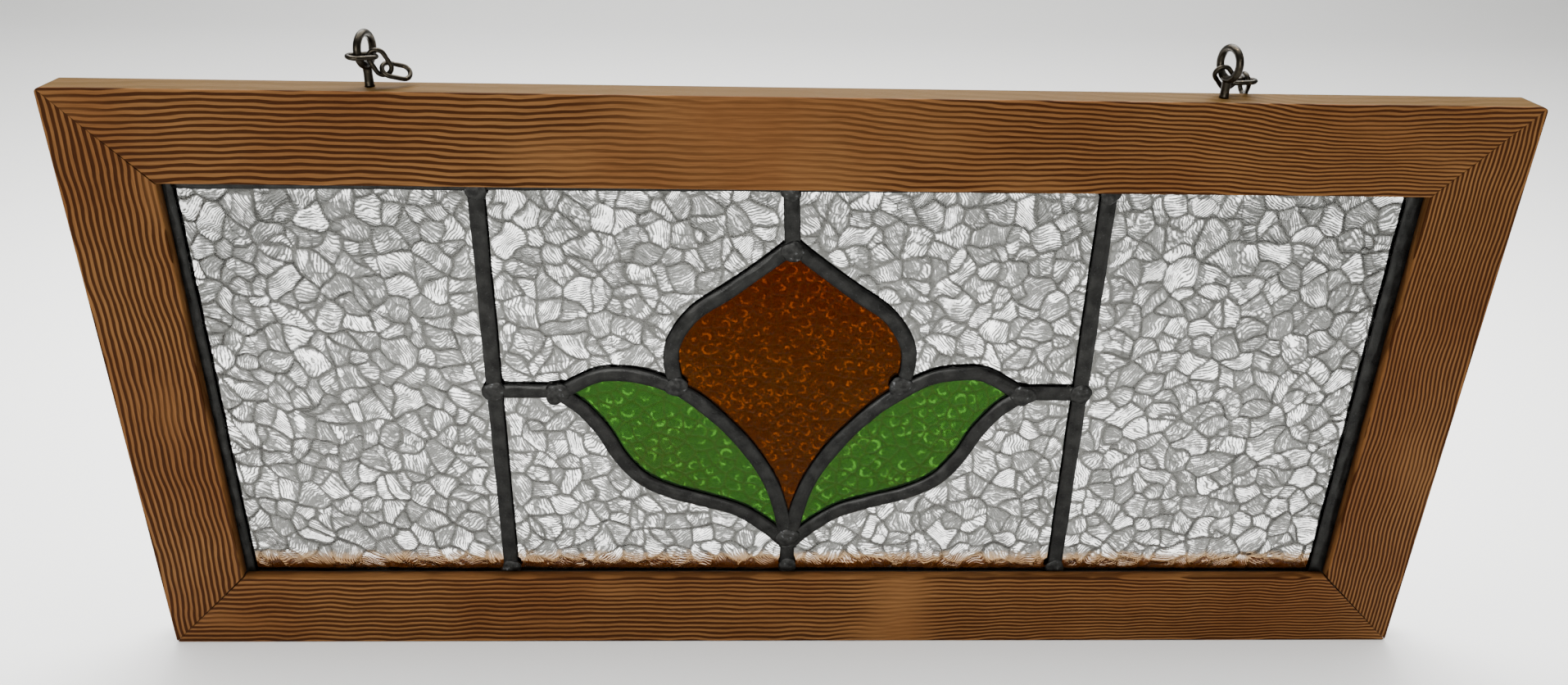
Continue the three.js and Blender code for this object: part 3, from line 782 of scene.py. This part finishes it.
class Bench:
    """Builds one material's nodes."""

    def __init__(self, name):
        self.material = bpy.data.materials.new(f"{name}_finish")
        self.material.use_nodes = True
        self.tree = self.material.node_tree
        self.shader = self.tree.nodes["Principled BSDF"]

    def add(self, kind, output=0, settings=None, values=None):
        """Adds a node, gives it its settings and the values or links of its sockets."""
        node = self.tree.nodes.new(kind)
        for key, setting in (settings or {}).items():
            setattr(node, key, setting)
        for key, value in values.items() if isinstance(values, dict) else enumerate(values or []):
            self.feed(node.inputs[key], value)
        return Value(self, node.outputs[output])

    def feed(self, socket, value):
        """Links a value to a socket, or sets it to a number or to a colour of three numbers."""
        if isinstance(value, Value):
            self.tree.links.new(value.socket, socket)
        else:
            socket.default_value = (*value, 1.0) if hasattr(value, "__len__") else value

    def field(self, name, output="Fac"):
        return self.add("ShaderNodeAttribute", output, {"attribute_name": name})

    def place(self):
        return self.add("ShaderNodeTexCoord", "Object")

    def noise(self, vector, scale, detail=3.0, roughness=0.5):
        values = {"Vector": vector, "Scale": scale, "Detail": detail, "Roughness": roughness}
        return self.add("ShaderNodeTexNoise", "Fac", {}, values)

    def mix(self, share, first, second):
        """A blend of two colours, which are the node's sockets 6 and 7, and its output 2."""
        return self.add("ShaderNodeMix", 2, {"data_type": "RGBA"}, {0: share, 6: first, 7: second})

    def bump(self, height, strength, distance):
        values = {"Height": height, "Strength": strength, "Distance": distance}
        return self.add("ShaderNodeBump", "Normal", {}, values)

    def finish(self, **sockets):
        for name, value in sockets.items():
            self.feed(self.shader.inputs[name.replace("_", " ")], value)
        return self.material


def once(maker):
    """Keeps one material for each maker, so that pieces share it."""
    def kept(style):
        return bpy.data.materials.get(f"{maker.__name__}_finish") or maker(style)
    return kept


LEAD_EDGE_DARK = (0.012, 0.012, 0.011)
GLASS_SHADE = (0.02, 0.01, 0.002)


@once
def pine(style):
    """Waxed pine: each ring darkens slowly from early to late wood and ends at a sharp line."""
    b = Bench("pine")
    fibre = b.field("fibre", "Vector")
    ring = b.field("ring")
    phase = (ring + 0.12 * b.noise(fibre, 420.0, 2.0)).part()
    late = (phase.ramp(0.3, 0.6) * (1.0 - phase.ramp(0.88, 1.0)) * b.field("contrast")).ramp(0.0, 0.75)
    streak = b.noise(fibre, 1500.0, 3.0, 0.65)
    fine = b.noise(fibre, 5200.0, 2.0, 0.6)
    blush = b.noise(b.place(), 14.0, 3.0)
    body = b.mix(blush.ramp(0.35, 0.7), style.wood_light, style.wood_warm)
    body = b.mix(streak.ramp(0.35, 0.75) * 0.35, body, style.wood_dark)
    dark = b.mix(streak.ramp(0.3, 0.8), style.wood_dark, style.wood_red)
    color = b.mix(late * 0.9, body, dark)
    color = b.mix(fine.ramp(0.55, 0.8) * 0.16, color, style.wood_light)
    color = b.mix(b.field("pale") * 0.75, color, style.wood_pale)
    normal = b.bump(late * 0.5 + streak * 0.3 + fine * 0.2, 0.35, 0.0006)
    rough = 0.5 + late * 0.12 + fine * 0.1
    return b.finish(Base_Color=color, Roughness=rough, Normal=normal, Specular_IOR_Level=0.07,
                    Specular_Tint=(0.8, 0.65, 0.5))


@once
def lead(style):
    """Oxidised lead: dull dark grey, lighter where it was rubbed, darker towards its edges."""
    b = Bench("lead")
    run = b.field("run", "Vector")
    cloud = b.noise(run, 160.0, 4.0, 0.6)
    scratch = b.noise(run, 1400.0, 3.0, 0.7)
    rim = b.field("rim")
    color = b.mix(cloud.ramp(0.3, 0.75), style.lead_dark, style.lead_light)
    color = b.mix(scratch.ramp(0.6, 0.8) * 0.4, color, style.lead_worn)
    # Darker towards the edges of the flanges
    color = b.mix(rim.ramp(0.78, 1.0) * 0.75, color, LEAD_EDGE_DARK)
    rough = 0.2 + cloud * 0.2 + rim.ramp(0.8, 1.0) * 0.3
    normal = b.bump(cloud * 0.6 + scratch * 0.4, 0.5, 0.0005)
    return b.finish(Base_Color=color, Roughness=rough, Metallic=0.75, Normal=normal,
                    Specular_IOR_Level=0.3)


@once
def solder(style):
    """Tin and lead solder: brighter than the came, with a dull pitted skin."""
    b = Bench("solder")
    cloud = b.noise(b.place(), 420.0, 4.0, 0.6)
    color = b.mix(cloud.ramp(0.35, 0.6), style.lead_dark, style.lead_light)
    color = b.mix(cloud.ramp(0.6, 0.75), color, style.lead_worn)
    normal = b.bump(cloud, 0.5, 0.0004)
    return b.finish(Base_Color=color, Roughness=0.32 + cloud * 0.25, Metallic=0.8, Normal=normal)


@once
def bronze(style):
    """Dark bronze plating, worn to brighter metal in spots."""
    b = Bench("bronze")
    spots = b.noise(b.place(), 900.0, 3.0, 0.6)
    color = b.mix(spots.ramp(0.58, 0.8), style.bronze_dark, style.bronze_worn)
    normal = b.bump(spots, 0.2, 0.0002)
    return b.finish(Base_Color=color, Roughness=0.26 + spots * 0.2, Metallic=0.95, Normal=normal)


@once
def clear_glass(style):
    """Clear glass whose cells carry fine parallel ridges. The greys of the cells and of the ditches
    between them are painted shade, and the brown band along its foot is a painted refraction of the
    bottom rail's ledge."""
    b = Bench("clear_glass")
    field = b.field("comb", "Vector")
    comb = field.axis("X").wave()
    height = b.place().axis("Z")
    wall, tone = b.field("wall"), b.field("tone")
    streak = b.noise(field, 0.75, 2.0, 0.5)
    grit = b.noise(b.place(), 700.0, 4.0, 0.7)
    cloud = b.noise(b.place(), 260.0, 3.0, 0.6)
    # Painted shade: dark lines along the ridges, darker cell shoulders and grey cells stand for the
    # light that the cells bend away
    ridge_shade = (1.0 - comb.ramp(0.15, 0.65)) * cloud.ramp(0.34, 0.5)
    shoulder_shade = 1.0 - wall.ramp(0.3, 1.0)
    bright = tone.ramp(0.2, 0.95) * 0.8 + streak.ramp(0.4, 0.62) * 0.4 + grit.ramp(0.42, 0.62) * 0.3
    bright = bright - ridge_shade * 0.8 - shoulder_shade * 0.35
    color = b.mix(bright.ramp(0.0, 1.1) ** 2.2, style.clear_shade, (1.0, 1.0, 0.99))
    # Painted shade in the ditches between the cells
    color = b.mix((1.0 - wall.ramp(0.1, 0.6)) * (0.75 + cloud * 0.6), color, style.ditch)
    # Painted refraction: a brown band along the foot of the clear glass stands for the bottom rail's
    # ledge seen through it
    sill = MIDDLE_Z - SIGHT_Z
    foot = 1.0 - (height - cloud * 0.006).ramp(sill + 2 * MM, sill + 7.5 * MM)
    color = b.mix(foot * 0.8, color, style.sill_stain)
    normal = b.bump((comb * 0.6 + grit * 0.5 + streak * 0.5) * b.field("margin"), 0.8, 0.0003)
    return b.finish(Base_Color=color, Roughness=0.06, IOR=1.5, Transmission_Weight=1.0, Normal=normal,
                    Specular_IOR_Level=0.3, Specular_Tint=(0.3, 0.3, 0.29))


def tinted(name, body, highlight, crown, gleam):
    """Coloured glass: arcs of the hammer marks carry a painted highlight, and the body turns to the
    crown colour upwards.
    """
    b = Bench(name)
    height = b.place().axis("Z")
    body = b.mix(height.ramp(MIDDLE_Z + 5 * MM, MIDDLE_Z + 65 * MM), body, crown)
    wall, tone = b.field("wall"), b.field("tone")
    grit = b.noise(b.place(), 900.0, 3.0, 0.6)
    broad = b.noise(b.place(), 30.0, 2.0)
    # Painted highlight: one arc of each hammer mark and scattered specks turn to the highlight colour
    share = tone.ramp(0.05, 0.38) + grit.ramp(0.5, 0.75) * 0.1
    color = b.mix(share * wall, body, highlight)
    shade = 0.35 * (1.0 - wall.ramp(0.1, 0.8)) + broad.ramp(0.4, 0.8) * 0.12
    color = b.mix(shade, color, GLASS_SHADE)
    normal = b.bump(grit + wall * 0.4, 0.4, 0.0003)
    return b.finish(Base_Color=color, Roughness=0.1, IOR=1.5, Transmission_Weight=1.0, Normal=normal,
                    Specular_Tint=gleam)


@once
def amber_glass(style):
    """Burnt amber glass with small round hammer marks whose arcs carry a painted orange highlight."""
    gleam = (0.16, 0.05, 0.006)
    return tinted("amber_glass", style.amber, style.amber_glow, style.amber_crown, gleam)


@once
def green_glass(style):
    """Leaf-green glass with small round hammer marks."""
    gleam = (0.1, 0.2, 0.08)
    return tinted("green_glass", style.green, style.green_glow, style.green, gleam)


@once
def studio_white(style):
    """Matt white paint, faintly mottled."""
    b = Bench("studio_white")
    cloud = b.noise(b.place(), 3.0, 2.0)
    color = b.mix(cloud, style.floor, [0.97 * c for c in style.floor])
    return b.finish(Base_Color=color, Roughness=0.9)


# --- Add-on -------------------------------------------------------------------------


def length(label, text, default):
    return bpy.props.FloatProperty(name=label, description=text, default=default, min=0.0,
                                   unit="LENGTH", subtype="DISTANCE", precision=5)


def color(label, text, default):
    return bpy.props.FloatVectorProperty(name=label, description=text, default=default, size=3,
                                         min=0.0, max=1.0, subtype="COLOR")


class WindowStyle(bpy.types.PropertyGroup):
    """Sizes and colours of the window's finish."""

    grain_pitch: length("Grain pitch", "Distance between two dark grain lines", 2.5 * MM)
    grain_relief: length("Grain relief", "How far the early wood has sunk", 0.16 * MM)
    grain_wave: bpy.props.FloatProperty(name="Grain wave", description="How far the grain wanders",
                                        default=1.0)
    wood_light: color("Early wood", "Light wood between the lines", (0.155, 0.071, 0.023))
    wood_warm: color("Warm wood", "Redder patches of the light wood", (0.125, 0.051, 0.0155))
    wood_dark: color("Late wood", "Dark grain lines", (0.012, 0.0022, 0.0003))
    wood_red: color("Red late wood", "Redder stretches of the grain lines", (0.024, 0.0050, 0.0006))
    wood_pale: color("Faded wood", "Upward edge, faded by light and dust", (0.05, 0.03, 0.006))
    lead_dark: color("Dark lead", "Oxidised lead", (0.007, 0.007, 0.0064))
    lead_light: color("Grey lead", "Less oxidised lead", (0.020, 0.020, 0.0185))
    lead_worn: color("Worn lead", "Scratches and fresh solder", (0.14, 0.145, 0.15))
    bronze_dark: color("Dark bronze", "Plating of the screw eyes and chain", (0.020, 0.017, 0.012))
    bronze_worn: color("Worn bronze", "Metal where the plating is thin", (0.16, 0.12, 0.075))
    cell_size: length("Cell size", "Width of a cell in the clear glass", 9.6 * MM)
    relief: length("Relief", "Height of the cells in the clear glass", 0.6 * MM)
    ridge_pitch: length("Ridge pitch", "Distance between two ridges in a cell", 1.05 * MM)
    clear_grid: length("Clear grid", "Mesh step of the clear panes", 0.68 * MM)
    tinted_grid: length("Tinted grid", "Mesh step of the coloured panes", 0.55 * MM)
    clear_shade: color("Clear shade", "Shaded side of the clear cells", (0.012, 0.0123, 0.0112))
    # Painted shade of the ditches between the clear cells
    ditch: color("Ditch", "Grey of the ditches between the cells", (0.004, 0.004, 0.0035))
    # Painted refraction of the bottom rail's ledge along the foot of the clear glass
    sill_stain: color("Ledge refraction", "Brown along the foot of the clear glass", (0.17, 0.085, 0.026))
    amber: color("Amber", "Body of the amber glass", (0.0125, 0.0027, 0.0001))
    amber_crown: color("Amber crown", "Redder glass at the top of the bud", (0.0125, 0.0010, 0.0001))
    # Painted highlight on arcs of the hammer marks in the amber glass
    amber_glow: color("Amber glow", "Hammer marks in the amber glass", (0.26, 0.052, 0.001))
    green: color("Green", "Body of the green glass", (0.0065, 0.026, 0.0024))
    # Painted highlight on arcs of the hammer marks in the green glass
    green_glow: color("Green glow", "Hammer marks in the green glass", (0.085, 0.29, 0.03))
    floor: color("Floor", "Floor and backdrop", (0.84, 0.84, 0.825))


def style():
    return bpy.context.scene.window_style


class WINDOW_OT_timber_frame(bpy.types.Operator):
    """Make the four mitred members of the frame"""

    bl_idname = "window.timber_frame"
    bl_label = "Timber Frame"

    def execute(self, context):
        wood_member("top_rail", 11, False, 1, (-0.02, 0.075), "one end", style())
        wood_member("bottom_rail", 23, False, -1, (0.05, 0.022), "one end", style())
        wood_member("left_stile", 31, True, -1, (0.4, 0.05), "none", style())
        wood_member("right_stile", 47, True, 1, (0.4, 0.05), "all", style())
        return {"FINISHED"}


class WINDOW_OT_lead_cames(bpy.types.Operator):
    """Make the sixteen lead cames"""

    bl_idname = "window.lead_cames"
    bl_label = "Lead Cames"

    def execute(self, context):
        for seed, (node, path, face, behind) in enumerate(came_paths(), 100):
            came(node, path, face, seed, style(), behind * MM)
        return {"FINISHED"}


class WINDOW_OT_solder_joints(bpy.types.Operator):
    """Put a drop of solder on both sides of each joint"""

    bl_idname = "window.solder_joints"
    bl_label = "Solder Joints"

    def execute(self, context):
        drops = [solder_drop(x * MM, z * MM, r * MM, h * MM, face, seed)
                 for seed, (x, z, r, h) in enumerate(SOLDER, 300) for face in ("front", "back")]
        points, faces, fields = joined(drops)
        make_piece("solder_joints", points, faces, [], solder(style()), fields)
        return {"FINISHED"}


class WINDOW_OT_clear_glass(bpy.types.Operator):
    """Make the six clear panes with their pressed cells and ridges"""

    bl_idname = "window.clear_glass"
    bl_label = "Clear Glass"

    def execute(self, context):
        sheets = ("far_left", "upper_left", "lower_left", "upper_right", "lower_right", "far_right")
        for seed, place in enumerate(sheets, 500):
            glass_pane(f"clear_pane_{place}", lambda x, z, s: clear_relief(x, z, s, style()),
                       clear_glass(style()), "clear_glass", style().clear_grid, seed)
        return {"FINISHED"}


class WINDOW_OT_coloured_glass(bpy.types.Operator):
    """Make the amber bud and the two green leaves"""

    bl_idname = "window.coloured_glass"
    bl_label = "Coloured Glass"

    def execute(self, context):
        panes = (("bud_pane", amber_glass, "amber_glass", 4.6 * MM),
                 ("leaf_pane_left", green_glass, "green_glass", 6 * MM),
                 ("leaf_pane_right", green_glass, "green_glass", 6 * MM))
        for seed, (node, material, slot, size) in enumerate(panes, 600):
            glass_pane(node, lambda x, z, s, size=size: hammered_relief(x, z, s, size),
                       material(style()), slot, style().tinted_grid, seed)
        return {"FINISHED"}


class WINDOW_OT_screw_eyes(bpy.types.Operator):
    """Make the two screw eyes"""

    bl_idname = "window.screw_eyes"
    bl_label = "Screw Eyes"

    def execute(self, context):
        for side, (x, height, heading) in EYES.items():
            node = f"screw_eye_{side}"
            points, faces, fields = joined(eye_parts(x, height, heading))
            make_piece(f"{node}_turned", points, faces, [node],
                       bronze(style()), fields)
        return {"FINISHED"}


class WINDOW_OT_chain_ends(bpy.types.Operator):
    """Make the three links that hang on each screw eye"""

    bl_idname = "window.chain_ends"
    bl_label = "Chain Ends"

    def execute(self, context):
        for side, links in CHAINS.items():
            for number, link in enumerate(links, 1):
                node = f"chain_{side}_link_{number}"
                points, faces, fields = chain_link(*link)
                make_piece(f"{node}_wire", points, faces, [node],
                           bronze(style()), fields)
        return {"FINISHED"}


CAMERA_PLACE = (-23.1 * MM, -447.2 * MM, 248.3 * MM)
CAMERA_ANGLES = (63.76, -1.17, -1.53)
LENS = 27.27


class WINDOW_OT_stage(bpy.types.Operator):
    """Set the floor, backdrop, lights and camera"""

    bl_idname = "window.stage"
    bl_label = "Stage"

    def execute(self, context):
        self.sweep()
        ground = MIDDLE_Z - HALF_HEIGHT
        self.light("overhead", (0.0, 0.35, ground + 1.7), (-4, 0, 0), (2.4, 1.4), 60.0, 140)
        self.light("behind", (0.0, 0.34, ground + 0.62), (0, 0, 0), (0.9, 0.3), 11.0, 150)
        self.light("front", (-0.35, -1.7, ground + 0.55), (79, 0, -12), (1.3, 0.45), 13.5, 110)
        self.air()
        self.camera()
        return {"FINISHED"}

    def sweep(self):
        """Floor, quarter-round and wall as one surface, level across."""
        ground = MIDDLE_Z - HALF_HEIGHT
        bend = np.linspace(0, np.pi / 2, 24)
        radius, back = 0.8, 2.2
        y = np.r_[-4, -2, 0, back - radius + radius * np.sin(bend), back]
        z = np.r_[ground, ground, ground, ground + radius * (1 - np.cos(bend)), ground + 4]
        x = np.linspace(-4, 4, 9)
        grid_y, grid_x = np.meshgrid(y, x)
        grid_z = np.broadcast_to(z, grid_y.shape)
        mesh = bpy.data.meshes.new("backdrop")
        mesh.from_pydata(np.stack([grid_x, grid_y, grid_z], -1).reshape(-1, 3).tolist(), [],
                         grid_faces(len(x), len(y)).tolist())
        mesh.polygons.foreach_set("use_smooth", np.ones(len(mesh.polygons), bool))
        backdrop = bpy.data.objects.new("backdrop", mesh)
        bpy.context.collection.objects.link(backdrop)
        backdrop.data.materials.append(studio_white(style()))

    def stand(self, name, data, place, angles):
        holder = bpy.data.objects.new(name, data)
        holder.location = place
        holder.rotation_euler = [math.radians(a) for a in angles]
        bpy.context.collection.objects.link(holder)
        return holder

    def light(self, name, place, angles, size, power, spread):
        lamp = bpy.data.lights.new(name, "AREA")
        lamp.shape, lamp.size, lamp.size_y, lamp.energy = "RECTANGLE", size[0], size[1], power
        lamp.spread = math.radians(spread)
        self.stand(name, lamp, place, angles)

    def air(self):
        world = bpy.data.worlds.new("soft_room")
        world.use_nodes = True
        sky = world.node_tree.nodes["Background"].inputs
        sky["Color"].default_value = (1.0, 0.99, 0.97, 1)
        sky["Strength"].default_value = 0.22
        bpy.context.scene.world = world

    def camera(self):
        lens = bpy.data.cameras.new("camera")
        lens.lens, lens.clip_start = LENS, 0.01
        eye = self.stand("camera", lens, set_in_place(*CAMERA_PLACE)[0], CAMERA_ANGLES)
        bpy.context.scene.camera = eye


OPERATORS = (
    WINDOW_OT_stage, WINDOW_OT_timber_frame, WINDOW_OT_lead_cames, WINDOW_OT_solder_joints,
    WINDOW_OT_clear_glass, WINDOW_OT_coloured_glass, WINDOW_OT_screw_eyes, WINDOW_OT_chain_ends,
)


class WINDOW_PT_panel(bpy.types.Panel):
    """Lists the window's pieces in the sidebar"""

    bl_label = "Leaded Glass Window"
    bl_idname = "WINDOW_PT_panel"
    bl_space_type = "VIEW_3D"
    bl_region_type = "UI"
    bl_category = "Window"

    def draw(self, context):
        for operator in OPERATORS:
            self.layout.operator(operator.bl_idname)
        for name in WindowStyle.__annotations__:
            self.layout.prop(context.scene.window_style, name)


CLASSES = (WindowStyle, *OPERATORS, WINDOW_PT_panel)


def register():
    for cls in CLASSES:
        bpy.utils.register_class(cls)
    bpy.types.Scene.window_style = bpy.props.PointerProperty(type=WindowStyle)


def unregister():
    del bpy.types.Scene.window_style
    for cls in reversed(CLASSES):
        bpy.utils.unregister_class(cls)


def main():
    register()
    for operator in OPERATORS:
        group, name = operator.bl_idname.split(".")
        getattr(getattr(bpy.ops, group), name)()


if __name__ == "__main__":
    main()
